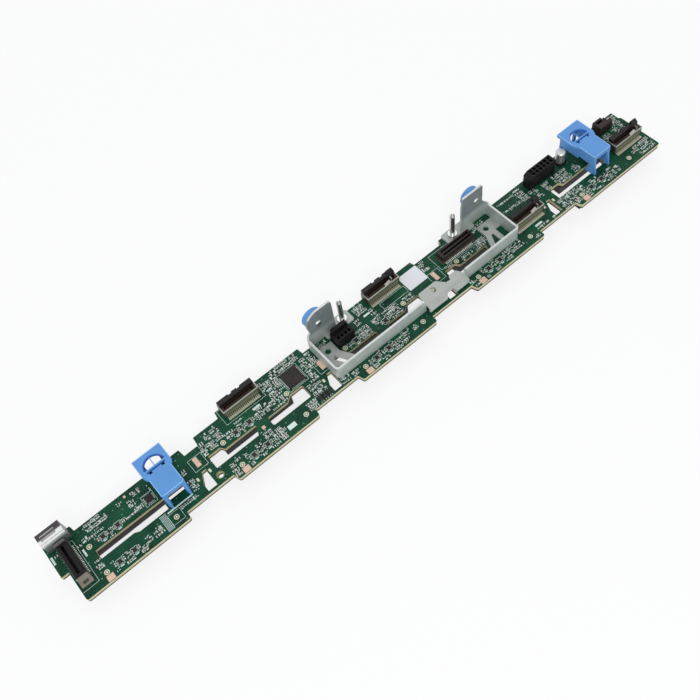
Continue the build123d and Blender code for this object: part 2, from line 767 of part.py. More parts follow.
def dark_block(x, front):
    """Low socket near the right latch, stepped down at its right rear."""
    half = block_length / 2
    body = block((x - half, x + half), (front, front + block_depth), (0, block_height))
    body -= block((x + half - 3.6, x + half + 1), (front + 2.4, front + block_depth + 1),
                  (block_height - 2.6, 20))
    body -= block((x - half + 1.2, x + half - 4.6), (front + block_depth - 3.0, front + block_depth - 1.2),
                  (1.5, 20))
    return body


# Small parts

def capacitor_can(x, y):
    """Drawn can, drawn in a little at its foot."""
    r, h, base = can_radius, can_height, 0.9
    points = [(0, base), (r - 0.3, base), (r, base + 0.8), (r, h - 0.5), (r - 0.5, h), (0, h)]
    return turned(points, Pos(x, y, 0))


def capacitor_base(x, y):
    side = can_radius + 0.15
    corners = [(x - side, y - side), (x + side, y - side), (x + side, y + side), (x - side, y + side)]
    base = plan(corners, 0, 0.9)
    return chamfer(base.edges().filter_by(Axis.Z).sort_by(Axis.X)[-2:], 1.1)


def flat_chip(x, y, width, depth, height):
    body = block((x - width / 2, x + width / 2), (y - depth / 2, y + depth / 2), (0, height))
    return chamfer(body.faces().sort_by(Axis.Z)[-1].edges(), min(0.2, height / 4))


def package_spots():
    """Two square packages stand on every lobe, and two more above the slot in the first three columns."""
    lobes = [(column_x(index, offset), package_y)
             for index in range(column_count) for offset in package_offsets]
    upper = [(column_x(index, offset), upper_package_y)
             for index in (0, 1) for offset in upper_package_offsets]
    return lobes + upper + [over_column(2, spot) for spot in third_column_packages]


def chip_capacitors():
    """Chip capacitors beside each square package."""
    width, depth = passive_size[1], passive_size[0]
    return [block((x + side * passive_gap - width / 2, x + side * passive_gap + width / 2),
                  (y - depth / 2, y + depth / 2), (0, passive_height))
            for x, y in package_spots() for side in (-1, 1)]


def write_board():
    write("circuit_board", circuit_board())
    for row, middle in (("lower", lower_row), ("upper", upper_row)):
        contacts = []
        for index in range(column_count):
            start = column_x(index, connector_middle) - connector_length / 2
            write(f"drive_connector_{row}_{index + 1}", drive_connector(start, middle))
            contacts += drive_contacts(start, middle)
        write(f"drive_contacts_{row}", *contacts)


def write_bracket():
    write("mounting_bracket", mounting_bracket())
    write("touch_knob_left", touch_knob(left_knob_spot))
    write("touch_knob_right", touch_knob(right_knob_spot))
    write("knob_rivets", knob_rivet(left_knob_spot), knob_rivet(right_knob_spot))
    write("guide_pin_left", guide_pin(left_pin_x))
    write("guide_pin_right", guide_pin(right_pin_x))
    write("release_latch_left", release_latch(left_latch_x, edge_left))
    write("release_latch_right", release_latch(right_latch_x, edge_right))


def write_connectors():
    shield_set("cable_connector_1", *over_column(1, first_cable_spot), has_latch=False)
    shield_set("cable_connector_2", *over_column(2, second_cable_spot))
    shield_set("cable_connector_3", *over_column(3, third_cable_spot))
    shield_set("cable_connector_4", board_right - last_cable_inset, third_cable_spot[1])
    end_x = end_tab_width + end_connector_inset - board_right
    write("end_connector_base", end_connector_base(end_x, end_connector_y))
    write("end_connector_housing", end_connector_housing(end_x, end_connector_y))
    write("end_connector_tails", *end_connector_tails(end_x, end_connector_y))
    tall_x = end_tab_width + tall_inset - board_right
    write("tall_connector_insulator", tall_insulator(tall_x, tall_y))
    write("tall_connector_shell", tall_shell(tall_x, tall_y))
    receptacle_x, receptacle_front = over_column(3, receptacle_spot)
    write("receptacle_housing", receptacle_housing(receptacle_x, receptacle_front))
    write("receptacle_tails", *row_of_tails(receptacle_x, receptacle_length - 3, receptacle_front, 1.3))
    write("power_connector_housing", power_housing(*over_column(4, power_spot)))
    write("power_connector_blades", *power_blades(*over_column(4, power_spot)))
    write("cable_header_housing", header_housing(*over_column(2, header_spot)))
    write("cable_header_pins", *header_pins(*over_column(2, header_spot)))
    write("block_socket", dark_block(board_right - block_inset, block_y))


def write_small_parts():
    write("capacitor_can", capacitor_can(*over_column(4, can_spot)))
    write("capacitor_base", capacitor_base(*over_column(4, can_spot)))
    write("large_chip", flat_chip(*over_column(1, large_chip_spot), chip_size, chip_size, chip_height))
    write("small_chip", flat_chip(*over_column(0, small_chip_spot), small_chip_size, small_chip_size,
                                  package_height))
    write("edge_chips", *[flat_chip(column_x(2, offset), edge_chip_y, *edge_chip_size, package_height)
                          for offset in edge_chip_offsets])
    write("square_packages", *[flat_chip(x, y, *package_size, package_height) for x, y in package_spots()])
    write("chip_capacitors", *chip_capacitors())
    x, y = over_column(2, label_spot)
    width, depth = label_size
    write("blank_label", block((x - width / 2, x + width / 2), (y - depth / 2, y + depth / 2),
                               (0, label_thickness)))


write_board()
write_bracket()
write_connectors()
write_small_parts()
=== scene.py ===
import json
import math
import random

import bmesh
import bpy
from mathutils import Matrix, Vector
from mathutils.bvhtree import BVHTree


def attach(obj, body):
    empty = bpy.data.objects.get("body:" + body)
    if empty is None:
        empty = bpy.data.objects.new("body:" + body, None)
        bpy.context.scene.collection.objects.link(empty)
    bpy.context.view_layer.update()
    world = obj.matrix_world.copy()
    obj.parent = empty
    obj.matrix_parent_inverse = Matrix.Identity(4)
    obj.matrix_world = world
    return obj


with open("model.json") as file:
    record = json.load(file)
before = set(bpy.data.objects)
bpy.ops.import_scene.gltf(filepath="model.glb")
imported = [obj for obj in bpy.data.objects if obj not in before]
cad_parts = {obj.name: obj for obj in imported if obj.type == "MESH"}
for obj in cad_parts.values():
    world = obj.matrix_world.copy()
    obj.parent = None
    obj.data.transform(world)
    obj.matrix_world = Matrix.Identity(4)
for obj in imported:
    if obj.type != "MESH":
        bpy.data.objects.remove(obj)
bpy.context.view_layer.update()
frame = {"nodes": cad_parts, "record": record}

# Board coordinates, in millimetres: x from the board's middle, y from the lobes' edge, z from the component
# face. Most places are given by a drive column's number and an offset in x from its lobe.
MM = 0.001
DEPTH_MIDDLE = 20.15
REST_HEIGHT = 11.2
THICKNESS = 3.2
FIRST_COLUMN = -185.5
PITCH = 80.0
BOARD_END = 198.3


def col(index, offset):
    """The x of a place, from its drive column."""
    return FIRST_COLUMN + PITCH * index + offset


def point(x, y, z):
    """Board millimetres as a place in the part's own frame."""
    return Vector((x * MM, (y - DEPTH_MIDDLE) * MM, (z + REST_HEIGHT) * MM))


def circle(x, y, radius, sides):
    """Plan points round a circle."""
    turns = [2 * math.pi * step / sides for step in range(sides)]
    return [(x + radius * math.cos(turn), y + radius * math.sin(turn)) for turn in turns]


# Colours and shader nodes

def srgb(red, green, blue):
    """A screen colour, 0 to 255, as the linear colour that a shader takes."""
    def linear(value):
        value /= 255.0
        return value / 12.92 if value <= 0.04045 else ((value + 0.055) / 1.055) ** 2.4
    return (linear(red), linear(green), linear(blue), 1.0)


def grey(value):
    return (value, value, value, 1.0)


def scaled(colour, factor):
    return (colour[0] * factor, colour[1] * factor, colour[2] * factor, 1.0)


def new_node(tree, kind, inputs=None, **settings):
    """A node with its settings, and each input either joined to a socket or given a value."""
    node = tree.nodes.new(kind)
    for name, value in settings.items():
        setattr(node, name, value)
    for name, value in (inputs or {}).items():
        if isinstance(value, bpy.types.NodeSocket):
            tree.links.new(value, node.inputs[name])
        else:
            node.inputs[name].default_value = value
    return node


def maths(tree, operation, *values):
    """The result of one sum or comparison."""
    return new_node(tree, "ShaderNodeMath", dict(enumerate(values)), operation=operation).outputs["Value"]


def mixed(tree, first, second, factor=1.0, blend="MIX"):
    """Two colours mixed, multiplied or lightened."""
    inputs = {"Fac": factor, "Color1": first, "Color2": second}
    return new_node(tree, "ShaderNodeMixRGB", inputs, blend_type=blend).outputs["Color"]


def ramp(tree, factor, *stops):
    """A colour ramp through (position, colour) stops."""
    node = new_node(tree, "ShaderNodeValToRGB", {"Fac": factor})
    elements = node.color_ramp.elements
    while len(elements) < len(stops):
        elements.new(0.5)
    for element, (position, colour) in zip(elements, stops):
        element.position = position
        element.color = colour
    return node.outputs["Color"]


def own_place(tree):
    """The place of a point on the part, in metres."""
    return new_node(tree, "ShaderNodeTexCoord").outputs["Object"]


def coordinates(tree, stretch=(1.0, 1.0, 1.0)):
    inputs = {"Vector": own_place(tree), "Scale": stretch}
    return new_node(tree, "ShaderNodeMapping", inputs).outputs["Vector"]


def noise(tree, vector, scale, detail):
    inputs = {"Vector": vector, "Scale": scale, "Detail": detail}
    return new_node(tree, "ShaderNodeTexNoise", inputs).outputs["Fac"]


def along(tree, axis, low, high, stops):
    """A colour ramp over a stretch of the part's own y or z, in board millimetres."""
    place = new_node(tree, "ShaderNodeSeparateXYZ", {"Vector": own_place(tree)}).outputs[axis]
    start = {"Y": -DEPTH_MIDDLE, "Z": REST_HEIGHT}[axis]
    span = {"Value": place, "From Min": (low + start) * MM, "From Max": (high + start) * MM}
    return ramp(tree, new_node(tree, "ShaderNodeMapRange", span).outputs["Result"], *stops)


def facing(tree, axis, limit=0.6):
    """One where a face looks along an axis, either way, and nought elsewhere."""
    normal = new_node(tree, "ShaderNodeNewGeometry").outputs["Normal"]
    part = new_node(tree, "ShaderNodeSeparateXYZ", {"Vector": normal}).outputs[axis]
    return maths(tree, "GREATER_THAN", maths(tree, "ABSOLUTE", part), limit)


def new_material(name):
    """A material, its node tree and its shader."""
    material = bpy.data.materials.new(name)
    material.use_nodes = True
    return material, material.node_tree, material.node_tree.nodes["Principled BSDF"]


def relief(tree, shader, height, strength, distance):
    """Raised grain or tracks, given to the shader as a bump."""
    inputs = {"Height": height, "Strength": strength, "Distance": distance}
    bump = new_node(tree, "ShaderNodeBump", inputs)
    tree.links.new(bump.outputs["Normal"], shader.inputs["Normal"])


# Finishes

def surface(name, colour, rough, metal=0.0, vary=0.12, cloud=160.0, grain=2600.0, bump=0.02,
            stretch=(1.0, 1.0, 1.0), gloss_level=0.5):
    """A finish with soft clouds of lighter and darker colour, uneven gloss and a fine grain."""
    material, tree, shader = new_material(name)
    vector = coordinates(tree, stretch)
    clouds = noise(tree, vector, cloud, 4.0)
    fine = noise(tree, vector, grain, 2.0)
    tint = ramp(tree, clouds, (0.3, scaled(colour, 1.0 - vary)), (0.7, scaled(colour, 1.0 + vary)))
    speck = ramp(tree, fine, (0.35, grey(1.0 - vary / 2)), (0.65, grey(1.0)))
    gloss = ramp(tree, clouds, (0.25, grey(max(rough - 0.06, 0.02))), (0.75, grey(min(rough + 0.08, 1.0))))
    tree.links.new(mixed(tree, tint, speck, blend="MULTIPLY"), shader.inputs["Base Color"])
    tree.links.new(gloss, shader.inputs["Roughness"])
    shader.inputs["Metallic"].default_value = metal
    shader.inputs["Specular IOR Level"].default_value = gloss_level
    relief(tree, shader, fine, bump * 10, 0.00004)
    return material


def bands(axis, low, high, *stops):
    """Colours over a stretch of an axis: pairs of a place from 0 to 1 and a screen colour."""
    return axis, low, high, [(place, srgb(*colour)) for place, colour in stops]


def plain(*colour):
    return bands("Z", 0.0, 1.0, (0.0, colour), (1.0, colour))


def banded(name, front, rough=0.42, metal=0.0, top=None, side=None, gloss_level=0.3):
    """A finish whose colour changes with height, with other colours on faces that look up or to the sides;
    this carries the painted highlights, painted reflections and painted shade of the shells and the bracket.
    """
    material = surface(name, grey(0.92), rough, metal, vary=0.06, cloud=200.0, grain=3000.0,
                       gloss_level=gloss_level)
    tree = material.node_tree
    base = tree.nodes["Principled BSDF"].inputs["Base Color"]
    wear = base.links[0].from_socket
    colour = along(tree, *front)
    # Painted light by facing: other colours on faces that look up and on faces that look to the sides, such
    # as lit tops and shaded sides.
    for axis, other in (("Z", top), ("X", side)):
        if other is not None:
            colour = mixed(tree, colour, along(tree, *other), facing(tree, axis))
    tree.links.new(mixed(tree, colour, wear, blend="MULTIPLY"), base)
    return material


def board_tracks(tree, vector):
    """Fine parallel tracks in patches, in three directions."""
    tracks = None
    for angle, scale, shift in ((0.0, 620.0, 61.0), (math.pi / 2, 560.0, 47.0), (math.pi / 4, 500.0, 83.0)):
        turning = {"Vector": vector, "Rotation": (0.0, 0.0, angle), "Location": (shift, shift, 0.0)}
        turned = new_node(tree, "ShaderNodeMapping", turning).outputs["Vector"]
        wave = {"Vector": turned, "Scale": scale / 3.0, "Distortion": 0.6}
        waves = new_node(tree, "ShaderNodeTexWave", wave)
        line = ramp(tree, waves.outputs["Fac"], (0.80, grey(0.0)), (0.92, grey(1.0)))
        area = ramp(tree, noise(tree, turned, 110.0, 1.0), (0.50, grey(0.0)), (0.54, grey(1.0)))
        patch = mixed(tree, line, area, blend="MULTIPLY")
        tracks = patch if tracks is None else mixed(tree, tracks, patch, blend="LIGHTEN")
    return tracks


def board_face(tree, vector, tracks):
    """Green mask with lighter tracks and small filled holes."""
    clouds = noise(tree, vector, 90.0, 4.0)
    green = ramp(tree, clouds, (0.3, srgb(2, 42, 28)), (0.52, srgb(8, 62, 42)), (0.75, srgb(14, 80, 52)))
    tracked = mixed(tree, green, srgb(24, 88, 62), maths(tree, "MULTIPLY", tracks, 0.55))
    cells = new_node(tree, "ShaderNodeTexVoronoi", {"Vector": vector, "Scale": 330.0})
    dots = ramp(tree, cells.outputs["Distance"], (0.09, grey(1.0)), (0.13, grey(0.0)))
    return mixed(tree, tracked, srgb(120, 150, 120), dots)


def board_edge(tree):
    """Tan laminate over a darker lower band, partly the lower skin and partly painted shade under the edge,
    with fibres along the cut.
    """
    plies_and_shade = along(tree, "Z", -THICKNESS, 0.0,
                  ((0.0, srgb(34, 26, 18)), (0.22, srgb(50, 39, 27)), (0.31, srgb(140, 127, 96)),
                   (0.40, srgb(200, 192, 156)), (0.9, srgb(220, 212, 176)), (1.0, srgb(152, 158, 120))))
    fibre = noise(tree, coordinates(tree, (1.0, 1.0, 9.0)), 420.0, 3.0)
    return mixed(tree, plies_and_shade, ramp(tree, fibre, (0.3, grey(0.80)), (0.7, grey(1.0))), blend="MULTIPLY")


def board_material():
    """The circuit board: green mask on its faces, bare laminate on its cut edges."""
    material, tree, shader = new_material("board_laminate")
    vector = coordinates(tree)
    tracks = board_tracks(tree, vector)
    is_flat = facing(tree, "Z", 0.5)
    colour = mixed(tree, board_edge(tree), board_face(tree, vector, tracks), is_flat)
    gloss = ramp(tree, is_flat, (0.0, grey(0.8)), (1.0, grey(0.42)))
    tree.links.new(colour, shader.inputs["Base Color"])
    tree.links.new(gloss, shader.inputs["Roughness"])
    shader.inputs["Specular IOR Level"].default_value = 0.16
    relief(tree, shader, tracks, 0.25, 0.00003)
    return material


# Finishes by the record's material slots
PALETTE = {
    "bracket_steel": surface("zinc_sheet", srgb(172, 177, 175), 0.32, 0.60, vary=0.07, cloud=70.0,
                             grain=1500.0, bump=0.015, stretch=(1.0, 1.0, 3.0)),
    "pin_steel": surface("bright_steel", srgb(204, 205, 202), 0.18, 0.95, vary=0.05, cloud=200.0,
                         grain=3000.0, bump=0.01),
    "shell_steel": surface("shell_sheet", srgb(150, 152, 146), 0.34, 0.55, cloud=240.0),
    "blue_plastic": surface("blue_moulding", srgb(94, 152, 216), 0.40, vary=0.05, cloud=90.0, grain=3200.0,
                            gloss_level=0.35),
    "connector_black": surface("black_moulding", srgb(20, 17, 20), 0.42, vary=0.18, cloud=200.0, grain=3000.0,
                               bump=0.03, gloss_level=0.2),
    "connector_beige": surface("beige_moulding", srgb(158, 150, 130), 0.50, vary=0.10, cloud=200.0,
                               grain=3000.0),
    "connector_brown": surface("brown_moulding", srgb(48, 38, 34), 0.42, vary=0.15, cloud=200.0, grain=3000.0,
                               bump=0.03, gloss_level=0.25),
    "gold_contacts": surface("gold_plate", srgb(212, 204, 168), 0.36, 0.55, vary=0.10, cloud=300.0,
                             bump=0.01),
    "tinned_tails": surface("tin_plate", srgb(212, 218, 212), 0.40, 0.25, vary=0.08, cloud=900.0,
                            grain=5200.0, bump=0.03),
    "can_aluminium": surface("can_metal", srgb(200, 200, 198), 0.30, 0.85, vary=0.06, cloud=200.0,
                             grain=3000.0, bump=0.01, stretch=(1.0, 1.0, 0.2)),
    "chip_black": surface("chip_moulding", srgb(44, 39, 37), 0.50, vary=0.75, cloud=900.0, grain=1900.0,
                          bump=0.04, gloss_level=0.25),
    "ceramic_tan": surface("ceramic", srgb(122, 104, 84), 0.55, vary=0.15, cloud=900.0, grain=5200.0,
                           bump=0.03),
    "label_paper": surface("label_sheet", srgb(226, 229, 232), 0.60, vary=0.03, cloud=90.0, bump=0.01),
    "green_laminate": board_material(),
}

# Finishes of single nodes, where colour changes over the piece, on the shells and the bracket as painted
# highlights, painted reflections and painted shade
# Painted light on the cable connectors' shell: painted shade low on the front, a near-white band at 0.64 as a
# painted reflection on its rim, lighter tops and painted shade on the sides.
SHELL = banded("socket_shell",
               bands("Z", 0.0, 10.0, (0.0, (70, 74, 62)), (0.50, (104, 108, 94)), (0.64, (204, 204, 194))),
               0.34, 0.25,
               top=bands("Z", 0.0, 10.0, (0.0, (188, 188, 174)), (1.0, (184, 182, 172))),
               side=plain(62, 62, 56))
CORE = banded("socket_core",
              bands("Z", 0.0, 10.0, (0.0, (40, 31, 26)), (0.60, (60, 45, 36)), (0.66, (24, 21, 23))))
TAILS = surface("socket_tails", srgb(186, 182, 160), 0.45, 0.1, cloud=900.0, grain=5200.0, bump=0.03)
OVER = {
    # Painted light on the bracket: lighter low down where the rail's front faces catch the light, darker on
    # the tall tabs, and a painted highlight on top faces above 8 mm, along the rail's top edges.
    "mounting_bracket": banded(
        "folded_zinc",
        bands("Z", 0.0, 26.0, (0.0, (200, 210, 205)), (0.33, (196, 206, 202)), (0.46, (142, 151, 153)),
              (1.0, (140, 149, 151))),
        0.36, 0.30,
        top=bands("Z", 0.0, 10.0, (0.0, (172, 176, 172)), (0.57, (174, 178, 173)), (0.8, (212, 216, 213))),
        gloss_level=0.5),
    # Painted reflection on the bright shell: dark low on the front rising to near white at the top, a
    # near-white band on the top face with a darker stretch past it, and mid grey sides as painted shade.
    "tall_connector_shell": banded(
        "bright_shell",
        bands("Z", 0.0, 12.4, (0.0, (66, 80, 76)), (0.55, (128, 138, 136)), (0.72, (172, 178, 178)),
              (0.86, (246, 246, 246))),
        0.3, 0.25,
        top=bands("Y", 31.0, 37.0, (0.0, (240, 240, 240)), (0.34, (246, 246, 246)), (0.42, (104, 98, 102)),
                  (0.55, (74, 68, 74))),
        side=plain(112, 116, 114)),
    "tall_connector_insulator": surface("pale_core", srgb(226, 226, 222), 0.5),
    "receptacle_housing": banded(
        "receptacle_moulding",
        bands("Z", 0.0, 6.6, (0.0, (128, 116, 98)), (0.30, (78, 64, 54)), (0.60, (40, 31, 29))),
        top=plain(38, 30, 29)),
    "end_connector_base": banded(
        "end_base_moulding",
        bands("Z", 0.0, 7.0, (0.0, (104, 98, 88)), (0.30, (150, 142, 132)), (1.0, (120, 116, 112))),
        0.4, 0.1),
}
for number in range(1, 5):
    OVER[f"cable_connector_{number}_shell"] = SHELL
    OVER[f"cable_connector_{number}_insulator"] = CORE
    OVER[f"cable_connector_{number}_tails"] = TAILS

# Finishes of what is added here
SILK = surface("white_print", srgb(214, 236, 228), 0.6, vary=0.06, cloud=600.0, grain=5200.0, bump=0.01)
COPPER = surface("bare_copper", srgb(222, 186, 166), 0.42, 0.1, vary=0.06, cloud=300.0, grain=3600.0,
                 bump=0.01)
PAD = surface("plated_pad", srgb(218, 216, 190), 0.42, 0.1, vary=0.06, cloud=500.0, grain=3600.0, bump=0.01)
BRASS = surface("dull_brass", srgb(118, 122, 76), 0.5, 0.2, vary=0.10, cloud=500.0, grain=3600.0, bump=0.01)
CONTACTS = surface("window_contacts", srgb(150, 146, 112), 0.5, 0.1)
# Lighter blue strips along the latches' edges: a painted highlight.
RIM_HIGHLIGHT = surface("blue_rim_highlight", srgb(140, 188, 240), 0.40, vary=0.05, cloud=90.0, grain=3200.0, gloss_level=0.35)
# Darker blue under the latches' spring slots and round their finger holes: painted shade.
SHADED_BLUE = surface("blue_pocket_shade", srgb(58, 104, 196), 0.5, vary=0.05, cloud=90.0, grain=3200.0, gloss_level=0.2)

for row in frame["record"]["subparts"]:
    for slot in frame["nodes"][row["node"]].material_slots:
        slot.material = OVER.get(row["node"], PALETTE[row["material_slot"]])


# Small parts on the board, gathered by material

# Heights of print and of solder lands, the width of printed lines, and the eased top edge of small parts
PRINT = 0.04
FILM = 0.06
LINE = 0.16
THIN_LINE = 0.14
EASE = 0.05
DISC_SIDES = 20
RING_SIDES = 24


class Batch:
    """Boxes, discs and rings on the board, joined into one piece."""

    def __init__(self, name, material, slot):
        self.name, self.material, self.slot = name, material, slot
        self.mesh = bmesh.new()

    def prism(self, corners, low, high, inset=0.0):
        """A closed prism over plan corners, with its top drawn in by inset."""
        count = len(corners)
        middle = Vector((sum(c[0] for c in corners), sum(c[1] for c in corners))) / count
        lower = [self.mesh.verts.new(point(x, y, low)) for x, y in corners]
        upper = []
        for x, y in corners:
            away = Vector((x, y)) - middle
            reach = away.length
            away *= max(reach - inset, 0.0) / reach
            upper.append(self.mesh.verts.new(point(middle.x + away.x, middle.y + away.y, high)))
        self.mesh.faces.new(upper)
        self.mesh.faces.new(list(reversed(lower)))
        for step in range(count):
            after = (step + 1) % count
            self.mesh.faces.new((lower[step], lower[after], upper[after], upper[step]))

    def box(self, x, y, width, depth, low, high, inset=0.0):
        """A box by its middle and plan size."""
        corners = [(x + across * width / 2, y + up * depth / 2)
                   for across, up in ((-1, -1), (1, -1), (1, 1), (-1, 1))]
        self.prism(corners, low, high, inset)

    def disc(self, x, y, radius, low, high):
        self.prism(circle(x, y, radius, DISC_SIDES), low, high)

    def ring(self, x, y, outer, inner, low, high):
        """A flat ring with square edges."""
        rows = [[self.mesh.verts.new(point(across, up, z)) for across, up in circle(x, y, radius, RING_SIDES)]
                for radius, z in ((outer, low), (outer, high), (inner, high), (inner, low))]
        for first, second in zip(rows, rows[1:] + rows[:1]):
            for step in range(RING_SIDES):
                after = (step + 1) % RING_SIDES
                self.mesh.faces.new((first[step], first[after], second[after], second[step]))

    def outline(self, x0, x1, y0, y1, width=LINE):
        """Four printed bars round a rectangle."""
        x, y = (x0 + x1) / 2, (y0 + y1) / 2
        self.box(x, y0, x1 - x0 + width, width, 0.0, PRINT)
        self.box(x, y1, x1 - x0 + width, width, 0.0, PRINT)
        self.box(x0, y, width, y1 - y0 - width, 0.0, PRINT)
        self.box(x1, y, width, y1 - y0 - width, 0.0, PRINT)

    def done(self):
        mesh = bpy.data.meshes.new(self.name)
        bmesh.ops.recalc_face_normals(self.mesh, faces=self.mesh.faces)
        self.mesh.to_mesh(mesh)
        self.mesh.free()
        mesh.materials.append(self.material)
        piece = bpy.data.objects.new(self.name, mesh)
        bpy.context.scene.collection.objects.link(piece)
        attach(piece, "root")


solder = Batch("solder_and_end_caps", PALETTE["tinned_tails"], "tinned_tails")
dark = Batch("dark_chip_bodies", PALETTE["chip_black"], "chip_black")
tan = Batch("ceramic_chip_bodies", PALETTE["ceramic_tan"], "ceramic_tan")
silk = Batch("white_marks", SILK, "label_paper")
copper = Batch("copper_lands", COPPER, "gold_contacts")
pads = Batch("plated_lands", PAD, "gold_contacts")
brass = Batch("hole_land", BRASS, "gold_contacts")
strips = Batch("tail_solder", TAILS, "gold_contacts")
windows = Batch("shell_windows", CONTACTS, "gold_contacts")
rim = Batch("latch_rim_highlights", RIM_HIGHLIGHT, "blue_plastic")
pocket = Batch("latch_pocket_shade", SHADED_BLUE, "blue_plastic")
rib = Batch("latch_ribs", PALETTE["blue_plastic"], "blue_plastic")


# Where the board's face is still free

def board_and_parts():
    """One search tree over every node, to find where the board's face lies open."""
    vertices, faces = [], []
    for node in frame["nodes"].values():
        start = len(vertices)
        vertices += [node.matrix_world @ vertex.co for vertex in node.data.vertices]
        faces += [[start + index for index in face.vertices] for face in node.data.polygons]
    return BVHTree.FromPolygons(vertices, faces)


TREE = board_and_parts()
ABOVE_ALL = 60.0
FLAT_WITHIN = 0.02
taken = []


def is_open(x, y, width, depth):
    """True where the board's face is bare under a rectangle, and no small part stands there yet."""
    down = Vector((0.0, 0.0, -1.0))
    for across in (-0.5, 0.0, 0.5):
        for up in (-0.5, 0.0, 0.5):
            hit = TREE.ray_cast(point(x + across * width, y + up * depth, ABOVE_ALL), down)[0]
            if hit is None or abs(hit.z - REST_HEIGHT * MM) > FLAT_WITHIN * MM:
                return False
    for other in taken:
        if abs(x - other[0]) < (width + other[2]) / 2 and abs(y - other[1]) < (depth + other[3]) / 2:
            return False
    return True


# Clusters of chip parts

LAND_EXTRA = 0.3
CHIP_ROOM = 0.25
CAP_SHARE = 0.24
CAP_RISE = 0.02
BODY_SHARE = 0.94
BODY_EASE = 0.04
BODY_HEIGHT = 0.35
CHIP_SIZES = ((1.05, 0.55), (1.05, 0.55), (1.5, 0.8))
# Steps along and across a row, for rows of upright chips and of level ones
ROW_STEPS = {True: (1.05, 1.5), False: (1.55, 1.05)}
STROKES = ((1.1, 0.22), (0.22, 1.0), (0.8, 0.24), (0.24, 0.8), (0.55, 0.4))
STROKE_OFFSET = 0.55
ROW_MARGINS = (0.5, 0.2)
SAME_WAY = 0.75
STROKE_SHARE = 0.6


def chip(x, y, length, width, height, upright, body):
    """A two-ended chip part on its solder lands."""
    size = (width, length) if upright else (length, width)
    if not is_open(x, y, size[0] + LAND_EXTRA, size[1] + LAND_EXTRA):
        return
    taken.append((x, y, size[0] + CHIP_ROOM, size[1] + CHIP_ROOM))
    cap = length * CAP_SHARE
    for side in (-1, 1):
        shift = side * (length - cap) / 2
        cx, cy = (x, y + shift) if upright else (x + shift, y)
        w, d = (width, cap) if upright else (cap, width)
        solder.box(cx, cy, w + LAND_EXTRA, d + LAND_EXTRA, 0.0, FILM)
        solder.box(cx, cy, w, d, FILM, height + CAP_RISE, EASE)
    long, wide = length - 2 * cap, width * BODY_SHARE
    w, d = (wide, long) if upright else (long, wide)
    body.box(x, y, w, d, 0.0, height, BODY_EASE)


def silk_mark(x, y, pick):
    """A short printed stroke."""
    width, depth = pick.choice(STROKES)
    if is_open(x, y, width, depth):
        silk.box(x, y, width, depth, 0.0, PRINT)


def cluster(index, x0, x1, y0, y1, fill, seed):
    """Chip parts in loose rows over a rectangle, with print between them."""
    pick = random.Random(seed)
    upright = pick.random() < 0.5
    before, behind = ROW_MARGINS
    y = y0 + before
    while y < y1 - behind:
        x = col(index, x0) + before + pick.uniform(0, 0.4)
        row_upright = upright if pick.random() < SAME_WAY else not upright
        while x < col(index, x1) - behind:
            if pick.random() < fill:
                body = pick.choice((dark, dark, dark, tan, solder))
                long, wide = pick.choice(CHIP_SIZES)
                shift = pick.uniform(-0.1, 0.1)
                chip(x, y + shift, long, wide, BODY_HEIGHT + 0.2 * pick.random(), row_upright, body)
            for side in (-1, 1):
                if pick.random() < fill * STROKE_SHARE:
                    silk_mark(x + pick.uniform(-0.5, 0.5), y + side * STROKE_OFFSET, pick)
            x += ROW_STEPS[row_upright][0] + pick.uniform(0.0, 0.25)
        y += ROW_STEPS[row_upright][1]


def dots(index, x0, x1, y0, y1, pitch, batch, size):
    """A regular field of small square lands."""
    y = y0
    while y <= y1:
        x = col(index, x0)
        while x <= col(index, x1):
            if is_open(x, y, size, size):
                batch.box(x, y, size, size, 0.0, PRINT)
            x += pitch
        y += pitch


